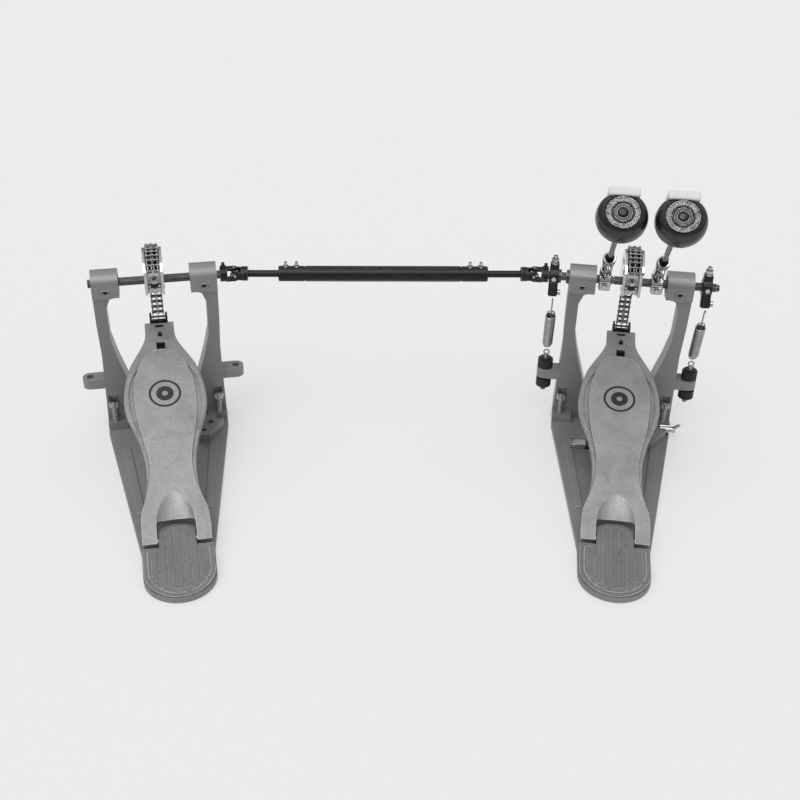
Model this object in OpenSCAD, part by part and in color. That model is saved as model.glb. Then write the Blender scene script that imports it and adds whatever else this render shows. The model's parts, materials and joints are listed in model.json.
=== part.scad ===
// Double bass drum pedal: a primary pedal with two beaters, a slave pedal, and the
// telescopic drive shaft that joins them. Each pedal is drawn in its own frame: x across,
// y towards the drum, z up, with the origin on the floor under the middle of its axle.

/* [Layout] */
// Height of both axles above the floor
axle_z = 200; // [190:1:210]
// Angle of each pedal to the drive shaft, in degrees
yaw = 9.5; // [7:0.5:12]
// Distance between the centres of the two universal joints
shaft_span = 333.6; // [320:1:360]
// Slope of the primary footboard at rest, in degrees
primary_slope = 21.7; // [21.7]
// Slope of the slave footboard at rest, in degrees
slave_slope = 24.4; // [24.4]

/* [Frame] */
// Distance from the middle of a pedal to the middle of its axle housings
housing_x = 53.1; // [53.1]
// Width of an axle housing
housing_w = 29; // [27:0.5:31]
// Radius of an axle housing
housing_r = 15.2; // [14:0.1:16]
// Half width of the base at the posts
base_front = 69.5; // [68:0.5:72]
// Half width of the heel
heel_half = 36.7; // [36:0.1:38]
// Thickness of the base plate
base_t = 6; // [6]

/* [Footboard] */
// Length of a footboard along its slope
board_l = 282; // [282]
// Thickness of a footboard
board_t = 8; // [7:0.5:9]
// Height of the panel above the rest of the board
panel_t = 1.2; // [0.8:0.1:1.6]

/* [Chain] */
// Pitch of the chain
pitch = 6.35; // [6.35]
// Distance between the two strands
strand_gap = 6.4; // [6.4]

/* [Beaters] */
// Angle that each beater leans back at rest, in degrees
lean = 45; // [40:0.5:47]
// Distance from the axle to the middle of a beater head
head_d = 170.5; // [160:0.5:180]
// Distance of each beater rod in front of the middle of the axle
rod_y = 6.5; // [4:0.5:7]
// Radius of a beater head
head_r = 25.5; // [24:0.5:26]

/* [Hidden] */
$fn = 48;

hinge = [-225, 15];            // heel hinge pin, y and z
heel_top = [-233, 19];         // rear end of the board's upper face
hex_flats = 9;                 // axle across its flats
hex_r = hex_flats / 2 / cos(30);
journal_r = 5;                 // axle where it runs in the bearings
bearing_r = 9.5;
run_gap = 0.05;                // running clearance of a shaft, radial
link_step = 10;                // turn of the cam for one link of chain
chain_r = pitch / 2 / sin(link_step / 2);
plate_r = 2.95;                // half height of a chain plate
pin_r = 1.15;
wrap_first = 4;                // links between the tangent point and the fixed wrap
wrap_last = 14;
primary_drop = 12;             // links in each straight drop
slave_drop = 10;
drop_top = [chain_r, axle_z];
toe_s = 289;                   // end pin of the chain, along and below the board's face
toe_h = -2;
joint_primary = 106.7;         // from a pedal's middle to its universal joint
joint_slave = 87.6;
shaft_y = joint_primary * sin(yaw);
joint_r_x = -joint_primary * cos(yaw);
joint_l_x = joint_r_x - shaft_span;
slave_pos = [joint_l_x - joint_slave * cos(yaw), shaft_y - joint_slave * sin(yaw), 0];
left_x = -28.9;                // beaters
right_x = 27.7;
ear = [83.7, 18];              // hole that holds a spring rod, x and y
ear_top = 72;
ear_t = 12;
arm_tip = [-10, -19];          // spring pin on a spring arm, y and z from the axle
spring_low = [18, 96];         // lower eye of a spring, y and z
tube_end_l = 49.0;             // from a universal joint to the near end of the drive tube
tube_end_r = 52.3;
rod_r = 3.9;
drive_hole_r = 3;              // open pivot of a cross in its drive yoke
key_x = [joint_l_x + tube_end_l + 8, joint_l_x + tube_end_l + 20,
    joint_r_x - tube_end_r - 20, joint_r_x - tube_end_r - 8];
spur = [60.8, 6.2];            // floor spur, x and y

module in_primary() { rotate([0, 0, -yaw]) children(); }
module in_slave() { translate(slave_pos) rotate([0, 0, yaw]) children(); }
module on_shaft(x) { translate([x, shaft_y, axle_z]) children(); }
module both_sides() { children(); mirror([1, 0, 0]) children(); }
// A cylinder along x from x0 to x1, at [y, z]
module rod_x(x0, x1, r, at = [0, 0], fn = 48) {
    translate([x0, at[0], at[1]]) rotate([0, 90, 0]) cylinder(h = x1 - x0, r = r, $fn = fn);
}
// A hexagonal bar along x, one corner up
module hex_x(x0, x1, at = [0, 0], r = hex_r) {
    translate([x0, at[0], at[1]]) rotate([0, 90, 0]) cylinder(h = x1 - x0, r = r, $fn = 6);
}
// Extrudes a y-z outline along x, centred
module across(w) { rotate([90, 0, 90]) linear_extrude(w, center = true) children(); }
// Points of a smooth curve through the rows of p, n steps for each row
function spline(p, n = 5) = let (m = len(p)) [
    for (i = [0 : m - 2], k = [0 : n - 1])
        let (t = k / n, a = p[max(i - 1, 0)], b = p[i], c = p[i + 1], d = p[min(i + 2, m - 1)])
        0.5 * (2 * b + (c - a) * t + (2 * a - 5 * b + 4 * c - d) * t * t
            + (3 * b - a - 3 * c + d) * t * t * t),
    p[m - 1]
];
function mirrored(p) = [for (i = [len(p) - 1 : -1 : 0]) [-p[i][0], p[i][1]]];

// ---- cast frame -------------------------------------------------------------------

heel_y = -268;                 // middle of the heel's round end
heel_rise = 7.2;               // slope of the heel plate's top, in degrees
base_edge = [[base_front, 2], [base_front, -4], [heel_half + 0.6, -232], [heel_half, heel_y]];

module base_outline(jaw) {
    polygon(concat(base_edge, mirrored(base_edge)));
    translate([0, heel_y]) circle(heel_half, $fn = 96);
    translate([-base_front, 0]) square([2 * base_front, 37]);
    if (jaw) translate([-27, 30]) square([54, 32]);
}

module boss_outline() {
    polygon([[34, 1.5], [56, 1.5], [56, -10.4], [64, -10.4], [64, -13], [46, -42], [34, -42]]);
}

// The primary pedal's plate ends in the lower jaw of the hoop clamp
module base_plate(jaw) {
    difference() {
        union() {
            linear_extrude(base_t) base_outline(jaw);
            linear_extrude(17) boss_outline();
            if (jaw) translate([-24, 38, 0]) cube([48, 24, 10]);
        }
        translate([48.2, -15.5, 8]) cylinder(h = 20, r = 3.8);
        translate([39.8, -31, 9]) cylinder(h = 20, r = 2.6);
        if (jaw) rod_x(20, 80, 2.55, [-4, 12.5]);
        both_sides() translate([spur[0], spur[1], -1]) cylinder(h = 10, r = 3.05);
    }
}

// One side of the posts, seen from the heel
module post_front() {
    polygon([
        [housing_x + housing_w / 2, 196], [67.6, 150], [66.5, 110], [68, 60], [base_front, 16],
        [base_front, base_t], [0, base_t], [0, 18], [22, 18], [27, 24], [34, 46], [41, 72],
        [49, 102], [54.4, 130], [54.6, 172], [50, 184], [housing_x - housing_w / 2, 188],
        [housing_x - housing_w / 2, 196]
    ]);
}

// The posts lean towards the drum at their feet
module post_side() {
    polygon([[-11, 196], [-10, 180], [13, 16], [13, base_t], [36, base_t], [36, 16], [12, 180], [11, 196]]);
}

module post_frame(jaw) {
    difference() {
        union() {
            both_sides() {
                intersection() {
                    rotate([90, 0, 0]) linear_extrude(120, center = true) post_front();
                    across(160) post_side();
                }
                rod_x(housing_x - housing_w / 2, housing_x + housing_w / 2, housing_r, [0, axle_z], 96);
                translate([housing_x - housing_w / 2, -housing_r, 188]) cube([housing_w, 2 * housing_r, 12]);
                translate([47, 2, base_t]) cube([22.5, 12, 10]);
                translate([60, ear[1] - 9, ear_top - ear_t]) cube([ear[0] - 60, 18, ear_t]);
                translate([ear[0], ear[1], ear_top - ear_t]) cylinder(h = ear_t, r = 9);
            }
            if (jaw) both_sides() translate([18, 18, 16]) cube([6, 12, 14]);
        }
        both_sides() {
            rod_x(housing_x - housing_w, housing_x + housing_w, bearing_r, [0, axle_z], 96);
            translate([ear[0], ear[1], 0]) cylinder(h = 100, r = 4.2);
            translate([spur[0], spur[1], 0]) cylinder(h = 34, r = 3.05);
            translate([spur[0], spur[1], 33.8]) cylinder(h = 16, r = 6);
            translate([housing_x, -10, axle_z - 3.4]) rotate([105, 0, 0]) cylinder(h = 12, r = 2.5);
        }
        if (jaw) rod_x(-30, 30, 2, [24, 24]);
    }
}

module heel_outline() {
    translate([0, heel_y]) circle(heel_half - 1, $fn = 96);
    translate([-heel_half + 1, heel_y]) square([2 * heel_half - 2, -236.5 - heel_y]);
    translate([-19, -260]) square([38, 44]);
    intersection() {
        translate([0, -235.5]) circle(30, $fn = 96);
        translate([-19, -217]) square([38, 12]);
    }
}

// Tread grooves run from g[1] to g[2] along the sloping top
module heel_plate() {
    difference() {
        translate([0, 0, base_t]) linear_extrude(20) heel_outline();
        translate([0, -305, 8.6]) rotate([heel_rise, 0, 0]) {
            translate([-60, -20, 0]) cube([120, 140, 30]);
            both_sides() for (g = [[4, 7, 90], [12, 10, 86], [20, 17, 58], [27, 26, 44]])
                translate([g[0] - 0.5, g[1], -0.8]) cube([1, g[2] - g[1], 2]);
        }
        rod_x(-50, 50, 3, hinge);
    }
}

module hinge_pin() { rod_x(-33, 33, 2.95, hinge); }

module bearings() {
    for (side = [-1, 1], x = [-11, 11]) difference() {
        rod_x(side * housing_x + x - 2.5, side * housing_x + x + 2.5, bearing_r, [0, axle_z], 96);
        rod_x(side * housing_x + x - 3, side * housing_x + x + 3, journal_r + run_gap, [0, axle_z]);
    }
}

module spurs() {
    both_sides() translate([spur[0], spur[1], 0]) {
        translate([0, 0, 1.5]) cylinder(h = 36, r = 3);
        translate([0, 0, 36]) cylinder(h = 8, r = 5.5);
        cylinder(h = 1.5, r = 1.6);
    }
}

// Set screws in the housings
module frame_screws() {
    both_sides() translate([housing_x, -10, axle_z - 3.4]) rotate([105, 0, 0])
        translate([0, 0, 0.6]) cylinder(h = 2.6, r = 2.5);
}

// ---- footboard and chain ----------------------------------------------------------

// Half width of the board at each distance from its rear end
board_edge = spline([
    [35, 0], [35.4, 16], [34.7, 33], [32.4, 45], [28.9, 57], [26.8, 71], [26.4, 86],
    [27.2, 100], [29.4, 113], [32.4, 126], [36.9, 140], [41.6, 153], [44.2, 165], [44.8, 178],
    [43.4, 193], [40, 209], [35.8, 222], [30, 233], [23.6, 244.5], [18.6, 255], [16.6, 264],
    [16.2, 281]
], 3);
notch_edge = [[20.2, -1], [20.2, 21], [19, 24.5], [16, 26.6], [8, 28.2], [0, 28.6]];
// The raised panel, from where it leaves the legs to the top of its oval
panel_edge = spline([
    [34, 37], [30.7, 46], [26.5, 58.5], [23.6, 72], [22, 91], [23.2, 105], [25.6, 118],
    [28.2, 131], [31.2, 146.5], [32.9, 163.5], [33.3, 180.5], [31.9, 198], [27.7, 215],
    [21.5, 229], [12, 239], [0, 242]
], 3);

module board_outline() {
    difference() {
        polygon(concat(board_edge, mirrored(board_edge)));
        polygon(concat(notch_edge, mirrored(notch_edge)));
    }
}

// Puts a board drawn flat, with x across and y along it, at its slope
module on_board(slope) {
    translate([0, heel_top[0], heel_top[1]]) rotate([slope, 0, 0]) children();
}

module footboard(slope) {
    difference() {
        on_board(slope) difference() {
            union() {
                translate([0, 0, -board_t]) linear_extrude(board_t - panel_t) board_outline();
                translate([0, 0, -board_t]) linear_extrude(board_t) intersection() {
                    board_outline();
                    union() {
                        polygon(concat(panel_edge, mirrored(panel_edge)));
                        translate([-50, -2]) square([100, 39]);
                    }
                }
                both_sides() translate([20.4, 0, -13]) cube([14.6, 16, 7]);
            }
            translate([-4.6, 244, -20]) cube([9.2, 9.2, 40]);
            translate([0, 264, -20]) cylinder(h = 40, r = 2);
            translate([-4.3, 274.7, -20]) cube([8.6, 2.6, 40]);
        }
        rod_x(-50, 50, 3, hinge);
        translate([-60, -260, 0]) cube([120, 26.2, 40]);
    }
}

// Outline of one chain plate between two pins one pitch apart along y
module plate_outline() {
    circle(plate_r, $fn = 24);
    translate([0, pitch]) circle(plate_r, $fn = 24);
    translate([-2.2, 0]) square([4.4, pitch]);
}

module plate(x, t) {
    translate([x, 0, 0]) rotate([90, 0, 90]) linear_extrude(t, center = true) rotate(-90) plate_outline();
}

// A link from the local origin to +y: outer links carry the pins, inner ones the rollers
module link(outer) {
    half = strand_gap / 2;
    if (outer) {
        for (y = [0, pitch]) rod_x(-half - 3.8, half + 3.8, pin_r, [y, 0], 20);
        for (x = [-half - 2.85, 0, half + 2.85]) plate(x, 0.75);
    } else {
        for (s = [-1, 1]) difference() {
            union() {
                for (x = [-1.95, 1.95]) plate(s * half + x, 0.75);
                for (y = [0, pitch]) rod_x(s * half - 2.2, s * half + 2.2, 1.75, [y, 0], 20);
            }
            for (y = [0, pitch]) rod_x(s * half - 4, s * half + 4, pin_r + run_gap, [y, 0], 20);
        }
    }
}

// Links first to last, counted up and over the cam from the tangent point
module wrapped_links(first, last) {
    for (k = [first : last - 1]) translate([0, 0, axle_z])
        rotate([k * link_step, 0, 0]) translate([0, chain_r, 0])
            rotate([90 + link_step / 2, 0, 0]) link(k % 2 == 0);
}

// Straight drop from the tangent point to the toe
module chain_drop(count, slope) {
    tilt = atan2(board_pin(slope)[0] - drop_top[0], drop_top[1] - board_pin(slope)[1]);
    translate([0, drop_top[0], drop_top[1]]) rotate([tilt - 90, 0, 0])
        for (k = [0 : count - 1]) translate([0, k * pitch, 0]) link(k % 2 == 1);
    translate([0, drop_top[0], drop_top[1]]) rotate([tilt - 90, 0, 0])
        rod_x(-9.6, 9.6, pin_r, [count * pitch, 0], 20);
}
function board_pin(slope) = [
    heel_top[0] + toe_s * cos(slope) - toe_h * sin(slope),
    heel_top[1] + toe_s * sin(slope) + toe_h * cos(slope)
];

module toe_clamp(slope) {
    on_board(slope) difference() {
        union() {
            translate([-10.3, 268, -13.5]) cube([20.6, 15, 5.3]);
            both_sides() translate([7.7, 281.2, -13.5]) cube([2.4, 11.3, 15.2]);
            translate([-10.1, 281.2, -13.5]) cube([20.2, 2.4, 14.5]);
            translate([-10.3, 240, -11.5]) cube([20.6, 30, 3.3]);
            translate([0, 264, -10]) cylinder(h = 10.4, r = 1.95);
        }
        hull() for (y = [-1.6, 5.4]) rod_x(-20, 20, 2.3, [toe_s + y, toe_h], 24);
    }
}

module cam() {
    difference() {
        union() {
            rod_x(-7.7, 7.7, 33, [0, axle_z], 96);
            for (x = [-10.4, 7.6]) rod_x(x, x + 2.8, 35.4, [0, axle_z], 96);
            rod_x(-10.4, 10.4, 13, [0, axle_z]);
        }
        translate([-20, -40, axle_z - 60]) cube([40, 80, 49]);
        translate([-20, -60, axle_z - 30]) cube([40, 44, 52]);
        translate([-7.4, -40, axle_z - 30]) cube([14.8, 29, 52]);
        translate([-20, 16, axle_z - 40]) cube([40, 44, 32]);
        for (a = [62, 92, 122]) translate([0, 0, axle_z]) rotate([a, 0, 0]) rod_x(-20, 20, 4.2, [23, 0]);
        hex_x(-20, 20, [0, axle_z]);
        translate([0, -8, axle_z - 9]) rotate([90, 0, 0]) cylinder(h = 12, r = 2.6);
    }
}

// ---- axles and beaters ------------------------------------------------------------

module stub(x0, x1) {
    rod_x(x0, x1, journal_r, [0, axle_z]);
}

module right_axle() {
    hex_x(-19, housing_x - housing_w / 2 - 0.5, [0, axle_z]);
    stub(housing_x - housing_w / 2 - 0.5, housing_x + housing_w / 2 + 0.5);
    hex_x(housing_x + housing_w / 2 + 0.5, 92, [0, axle_z]);
    rod_x(-31, -19, 3, [0, axle_z]);
    rod_x(92, 95.5, 3.6, [0, axle_z]);
}

module left_axle() {
    difference() {
        union() {
            hex_x(-97, -housing_x - housing_w / 2 - 0.5, [0, axle_z]);
            stub(-housing_x - housing_w / 2 - 0.5, -housing_x + housing_w / 2 + 0.5);
            hex_x(-housing_x + housing_w / 2 + 0.5, -20, [0, axle_z]);
            for (x = [-79.4, -71]) rod_x(x, x + 2.8, 7.6, [0, axle_z]);
        }
        rod_x(-32, -10, 3 + run_gap, [0, axle_z]);
    }
}

module slave_axle() {
    hex_x(-71.5, -housing_x - housing_w / 2 - 0.5, [0, axle_z]);
    stub(-housing_x - housing_w / 2 - 0.5, -housing_x + housing_w / 2 + 0.5);
    hex_x(-housing_x + housing_w / 2 + 0.5, housing_x - housing_w / 2 - 0.5, [0, axle_z]);
    stub(housing_x - housing_w / 2 - 0.5, housing_x + housing_w / 2 + 0.5);
    hex_x(housing_x + housing_w / 2 + 0.5, 78, [0, axle_z]);
}

// Local z runs up a beater's rod, with y towards the drum
module on_rod(x) { translate([x, 0, axle_z]) rotate([lean, 0, 0]) translate([0, rod_y, 0]) children(); }

module beater_holder(x) {
    difference() {
        union() {
            rod_x(x - 6.5, x + 6.5, 10.5, [0, axle_z]);
            on_rod(x) cylinder(h = 42, r = 6);
            translate([x - 6.5, -12, axle_z - 8]) cube([13, 12, 11]);
        }
        hex_x(x - 20, x + 20, [0, axle_z]);
        on_rod(x) translate([0, 0, 11]) cylinder(h = 60, r = 3.05);
    }
}

module memory_lock(x) {
    on_rod(x) difference() {
        union() {
            translate([0, 0, 42.5]) cylinder(h = 12, r = 7);
            translate([-2.5, -10, 46]) cube([5, 6, 5]);
        }
        cylinder(h = 90, r = 3 + run_gap);
    }
}

module beater_rod(x) { on_rod(x) translate([0, 0, 12]) cylinder(h = head_d - 24, r = 3); }

module beater_head(x) {
    on_rod(x) translate([0, 0, head_d]) difference() {
        union() {
            rotate_extrude($fn = 96) union() {
                translate([0, -15]) square([head_r - 4, 30]);
                translate([0, -11]) square([head_r, 22]);
                translate([head_r - 4, 11]) circle(4);
                translate([head_r - 4, -11]) circle(4);
            }
            translate([0, 0, 15]) cylinder(h = 1.6, r = 19.5, $fn = 96);
            translate([0, 0, -20]) cylinder(h = 8, r = 6.5);
        }
        translate([-17.5, 17, -30]) cube([35, 30, 60]);
        translate([0, 0, -40]) cylinder(h = 28.1, r = 3);
    }
}

module beater_felt(x) {
    on_rod(x) translate([-15.5, 17.1, head_d - 15.5]) cube([31, 9.4, 31]);
}

// ---- springs ----------------------------------------------------------------------

module spring_arm(x) {
    difference() {
        union() {
            rod_x(x - 5.2, x + 5.2, 10.6, [0, axle_z]);
            translate([x - 5.2, 0, axle_z]) rotate([-28, 0, 0]) translate([0, -7, -23]) cube([10.4, 13, 24]);
            translate([x, 0, axle_z + 8]) cylinder(h = 14, r = 5);
            translate([x, 0, axle_z + 20]) cylinder(h = 5, r = 3.2);
        }
        hex_x(x - 20, x + 20, [0, axle_z]);
    }
}

spring_vec = [arm_tip[0] - spring_low[0], arm_tip[1] + axle_z - spring_low[1]];
spring_tilt = atan2(-spring_vec[0], spring_vec[1]);
spring_len = norm(spring_vec);

// Local z runs up the spring from its lower eye
module on_spring(x) {
    translate([x, spring_low[0], spring_low[1]]) rotate([spring_tilt, 0, 0]) children();
}

module coil_spring(x) {
    on_spring(x) {
        difference() {
            translate([0, 0, 10]) cylinder(h = 46, r = 6);
            translate([0, 0, 9]) cylinder(h = 48, r = 4.4);
        }
        for (z = [6.2, 59.8]) translate([0, 0, z]) rotate([90, 0, 0])
            rotate_extrude($fn = 24) translate([4.6, 0]) circle(0.8, $fn = 16);
        translate([0, 0, 64.4]) cylinder(h = spring_len - 70, r = 1, $fn = 16);
    }
}

module spring_rod(x) {
    translate([x, ear[1], 40]) cylinder(h = 50, r = 3, $fn = 24);
    translate([x, ear[1] + 1.6, 90]) rotate([90, 0, 0]) cylinder(h = 3.2, r = 3.4, $fn = 24);
}

module spring_knobs(x) {
    for (z = [46.5, ear_top + 0.2]) difference() {
        translate([x, ear[1], z]) cylinder(h = 13, r = 8.8);
        translate([x, ear[1], z - 1]) cylinder(h = 20, r = 3 + run_gap, $fn = 24);
    }
}

// ---- hoop clamp -------------------------------------------------------------------

module hoop_clamp_lever() {
    difference() {
        union() {
            translate([-15, -60, 19.6]) cube([30, 92, 3.4]);
            translate([-17.5, 28, 19.6]) cube([35, 34, 5.4]);
            rod_x(-15, 15, 4.4, [24, 24]);
            translate([-47, -72, 19.6]) cube([60, 14, 4.4]);
            translate([-17.5, 40, 17.6]) cube([35, 20, 2]);
        }
        rod_x(-30, 30, 2 + run_gap, [24, 24]);
    }
}

module hoop_clamp_pin() { rod_x(-23.5, 23.5, 2, [24, 24]); }

module hoop_clamp_wing_screw() {
    translate([0, -4, 12.5]) {
        rod_x(18, 58, 2.5);
        rod_x(57.2, 68.5, 5.4);
        rod_x(68.5, 74.8, 3.6);
        for (a = [20, 200]) rotate([a, 0, 0]) translate([70.4, -1.5, 2]) rotate([0, 40, 0])
            cube([4, 3, a > 90 ? 6 : 12]);
    }
}

// ---- drive shaft ------------------------------------------------------------------

// A fork whose pin holes lie along z; the sleeve runs towards +x from the centre
module yoke(sleeve, hole_r) {
    difference() {
        union() {
            rod_x(8, sleeve, 8);
            for (s = [-1, 1]) {
                translate([0, -hole_r - 1.4, s > 0 ? 4.8 : -8]) cube([10, 2 * hole_r + 2.8, 3.2]);
                translate([0, 0, s > 0 ? 4.8 : -8]) cylinder(h = 3.2, r = hole_r + 1.4);
            }
        }
        cylinder(h = 40, r = hole_r, center = true);
    }
}

module cross() {
    translate([-3, -3, -3]) cube(6);
    cylinder(h = 15.6, r = 2, center = true);
    rotate([90, 0, 0]) cylinder(h = 15.6, r = 1.4, center = true);
}

// Square-headed clamp screws on an axle yoke
module yoke_screws() {
    for (a = [0, 90]) rotate([a, 0, 0]) translate([12, 0, 7]) {
        cylinder(h = 3, r = 3.6);
        translate([-1.8, -1.8, 3]) cube([3.6, 3.6, 4]);
    }
}

module axle_yoke_right() {
    translate([-joint_primary, 0, axle_z]) difference() {
        union() { yoke(15.8, 2); yoke_screws(); }
        hex_x(9.6, 30);
    }
}

module axle_yoke_left() {
    translate([joint_slave, 0, axle_z]) rotate([0, 0, 180]) difference() {
        union() { yoke(15.8, 2); yoke_screws(); }
        hex_x(9.5, 30);
    }
}

module drive_rod_right() {
    on_shaft(joint_r_x) {
        rotate([0, 0, 180]) rotate([90, 0, 0]) yoke(15, drive_hole_r);
        rod_x(-tube_end_r - 60, -14, rod_r);
    }
}

module drive_rod_left() {
    on_shaft(joint_l_x) {
        rotate([90, 0, 0]) yoke(15, drive_hole_r);
        rod_x(14, tube_end_l + 90, rod_r);
    }
}

module drive_tube() {
    x0 = joint_l_x + tube_end_l;
    x1 = joint_r_x - tube_end_r;
    difference() {
        on_shaft(0) rod_x(x0, x1, 8.6, [0, 0], 64);
        on_shaft(0) rod_x(x0 - 1, x1 + 1, rod_r + run_gap);
        for (x = key_x) on_shaft(x) translate([0, 0, 8.2]) cylinder(h = 4, r = 3.2);
    }
}

module drive_key_screws() {
    for (x = key_x)
        on_shaft(x) translate([0, 0, 8.2]) {
            cylinder(h = 2.2, r = 3.2);
            translate([-1.7, -1.7, 2.2]) cube([3.4, 3.4, 3.6]);
        }
}

// ---- nodes ------------------------------------------------------------------------

cast = "#7c7c7e";
plate_c = "#b4b4b4";
steel = "#c8cace";
black = "#1d1d1f";

color(cast) in_primary() base_plate(true);  // primary_base_plate
color(cast) in_primary() post_frame(true);  // primary_post_frame
color(cast) in_primary() heel_plate();  // primary_heel_plate
color(steel) in_primary() hinge_pin();  // primary_hinge_pin
color(plate_c) in_primary() footboard(primary_slope);  // primary_footboard
color(steel) in_primary() bearings();  // primary_bearings
color(steel) in_primary() cam();  // primary_cam
color(steel) in_primary() wrapped_links(wrap_first, wrap_last);  // primary_chain_wrap
color(steel) in_primary() wrapped_links(2, 4);  // primary_chain_upper
color(steel) in_primary() wrapped_links(0, 2);  // primary_chain_middle
color(steel) in_primary() chain_drop(primary_drop, primary_slope);  // primary_chain_drop
color(black) in_primary() toe_clamp(primary_slope);  // primary_toe_clamp
color(steel) in_primary() spurs();  // primary_spurs
color(steel) in_primary() frame_screws();  // primary_screws

color(cast) in_slave() base_plate(false);  // slave_base_plate
color(cast) in_slave() post_frame(false);  // slave_post_frame
color(cast) in_slave() heel_plate();  // slave_heel_plate
color(steel) in_slave() hinge_pin();  // slave_hinge_pin
color(plate_c) in_slave() footboard(slave_slope);  // slave_footboard
color(steel) in_slave() bearings();  // slave_bearings
color(steel) in_slave() cam();  // slave_cam
color(steel) in_slave() wrapped_links(wrap_first, wrap_last);  // slave_chain_wrap
color(steel) in_slave() wrapped_links(2, 4);  // slave_chain_upper
color(steel) in_slave() wrapped_links(0, 2);  // slave_chain_middle
color(steel) in_slave() chain_drop(slave_drop, slave_slope);  // slave_chain_drop
color(black) in_slave() toe_clamp(slave_slope);  // slave_toe_clamp
color(steel) in_slave() spurs();  // slave_spurs
color(steel) in_slave() frame_screws();  // slave_screws

color(steel) in_primary() right_axle();
color(steel) in_primary() left_axle();
color(steel) in_slave() slave_axle();
color(steel) in_primary() beater_holder(left_x);  // left_beater_holder
color(steel) in_primary() beater_holder(right_x);  // right_beater_holder
color(black) in_primary() memory_lock(left_x);  // left_memory_lock
color(black) in_primary() memory_lock(right_x);  // right_memory_lock
color(steel) in_primary() beater_rod(left_x);  // left_beater_rod
color(steel) in_primary() beater_rod(right_x);  // right_beater_rod
color(black) in_primary() beater_head(left_x);  // left_beater_head
color(black) in_primary() beater_head(right_x);  // right_beater_head
color("white") in_primary() beater_felt(left_x);  // left_beater_felt
color("white") in_primary() beater_felt(right_x);  // right_beater_felt
color(black) in_primary() spring_arm(-84.8);  // left_spring_arm
color(black) in_primary() spring_arm(82);  // right_spring_arm
color(steel) in_primary() coil_spring(-ear[0]);  // left_spring
color(steel) in_primary() coil_spring(ear[0]);  // right_spring
color(steel) in_primary() spring_rod(-ear[0]);  // left_spring_rod
color(steel) in_primary() spring_rod(ear[0]);  // right_spring_rod
color(black) in_primary() spring_knobs(-ear[0]);  // left_spring_knobs
color(black) in_primary() spring_knobs(ear[0]);  // right_spring_knobs
color(black) in_primary() hoop_clamp_lever();
color(steel) in_primary() hoop_clamp_pin();
color(steel) in_primary() hoop_clamp_wing_screw();
color(black) in_primary() axle_yoke_right();
color(steel) in_primary()  // cross_right
    translate([-joint_primary, 0, axle_z]) cross();
color(black) drive_rod_right();
color(black) drive_tube();
color(steel) drive_key_screws();
color(black) drive_rod_left();
color(steel) in_slave()  // cross_left
    translate([joint_slave, 0, axle_z]) cross();
color(black) in_slave() axle_yoke_left();
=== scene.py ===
"""Looks of a double bass drum pedal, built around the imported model.

New pieces are drawn in millimetres in their pedal's own frame (x across, y towards the drum,
z up, origin on the floor under the axle) and placed by that pedal's axle joint.
"""
import json
import math

import bmesh
import bpy
from mathutils import Matrix, Vector


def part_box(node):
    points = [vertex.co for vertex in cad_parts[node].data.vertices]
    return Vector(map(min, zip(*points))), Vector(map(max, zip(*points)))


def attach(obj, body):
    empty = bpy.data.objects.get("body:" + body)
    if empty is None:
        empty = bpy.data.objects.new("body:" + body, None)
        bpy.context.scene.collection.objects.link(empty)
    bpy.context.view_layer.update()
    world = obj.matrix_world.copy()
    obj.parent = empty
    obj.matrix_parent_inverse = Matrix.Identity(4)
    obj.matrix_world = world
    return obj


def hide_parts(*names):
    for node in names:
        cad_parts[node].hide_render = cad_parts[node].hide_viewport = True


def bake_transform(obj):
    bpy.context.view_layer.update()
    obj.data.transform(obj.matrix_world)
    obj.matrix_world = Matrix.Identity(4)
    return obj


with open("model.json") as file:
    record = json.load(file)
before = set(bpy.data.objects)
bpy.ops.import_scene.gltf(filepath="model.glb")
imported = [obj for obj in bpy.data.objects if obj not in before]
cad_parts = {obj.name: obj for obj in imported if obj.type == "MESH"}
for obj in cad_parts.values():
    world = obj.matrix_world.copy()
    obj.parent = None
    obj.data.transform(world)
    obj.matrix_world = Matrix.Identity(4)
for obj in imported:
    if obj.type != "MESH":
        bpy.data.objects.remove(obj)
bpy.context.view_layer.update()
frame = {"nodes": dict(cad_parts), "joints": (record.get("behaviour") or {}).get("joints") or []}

MM = 0.001
JOINTS = {j["name"]: j for j in frame["joints"]}
SMOOTH_ANGLE = 38


# ---- places -------------------------------------------------------------------------------

def turn(degrees, axis):
    return Matrix.Rotation(math.radians(degrees), 4, axis)


def move(x=0, y=0, z=0):
    return Matrix.Translation((x, y, z))


def joint_place(name):
    """Millimetres along a hinge to metres in the model: x along the hinge, z up."""
    joint = JOINTS[name]
    across = -Vector(joint["axis"])
    foot = Vector(joint["pos_m"])
    facing = turn(math.degrees(math.atan2(across.y, across.x)), "Z")
    return move(*foot) @ facing @ Matrix.Scale(MM, 4)


AXLE_Z = JOINTS["right_beater_swing"]["pos_m"][2] / MM
PRIMARY = joint_place("right_beater_swing") @ move(z=-AXLE_Z)
SLAVE = joint_place("slave_axle_turn") @ move(z=-AXLE_Z)
SHAFT_RIGHT = joint_place("drive_tube_turn")
ALONG_X = turn(90, "Y")

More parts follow.
